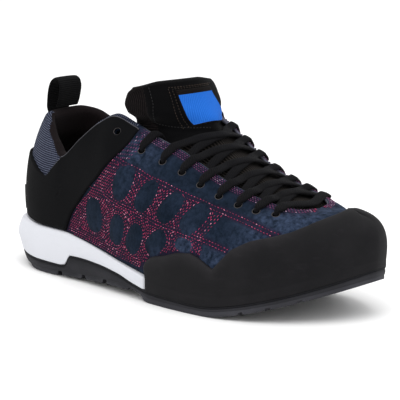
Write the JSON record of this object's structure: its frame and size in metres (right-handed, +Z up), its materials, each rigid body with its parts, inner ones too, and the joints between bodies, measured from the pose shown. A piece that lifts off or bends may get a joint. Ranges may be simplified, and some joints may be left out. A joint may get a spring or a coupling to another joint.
{
  "type": "approach shoe",
  "caption": "Low suede approach shoe for the right foot with lacing to the toe, rubber rand and toe cap, foam midsole, lugged rubber outsole, padded tongue and heel pull loop.",
  "frame": {"origin": "on the ground plane under the middle of the shoe's bounding box", "axes": "+X from heel to toe, +Y to the shoe's inner (medial) side, +Z up; the shoe stands on its sole"},
  "size_m": [0.2798, 0.1042, 0.1333],
  "materials": {
    "suede": "napped suede",
    "synthetic": "matt synthetic",
    "heel_rubber": "matt",
    "rand_rubber": "matt",
    "foam": "moulded foam, satin",
    "sole_rubber": "matt",
    "liner": "matt",
    "tongue_fabric": "mesh and suede",
    "label_fabric": "woven",
    "webbing": "ribbed webbing",
    "lace": "woven"
  },
  "bodies": {
    "root": {"upper": "suede", "heel_saddle": "synthetic", "heel_patch": "heel_rubber", "rand": "rand_rubber", "midsole": "foam", "outsole": "sole_rubber", "insole": "liner", "tongue": "tongue_fabric", "tongue_label": "label_fabric", "pull_loop": "webbing", "lace_crossing_1": "lace", "lace_crossing_2": "lace", "lace_crossing_3": "lace", "lace_crossing_4": "lace", "lace_crossing_5": "lace", "lace_crossing_6": "lace", "lace_end_outer": "lace", "lace_end_inner": "lace", "lace_bar": "lace"}
  },
  "joints": []
}
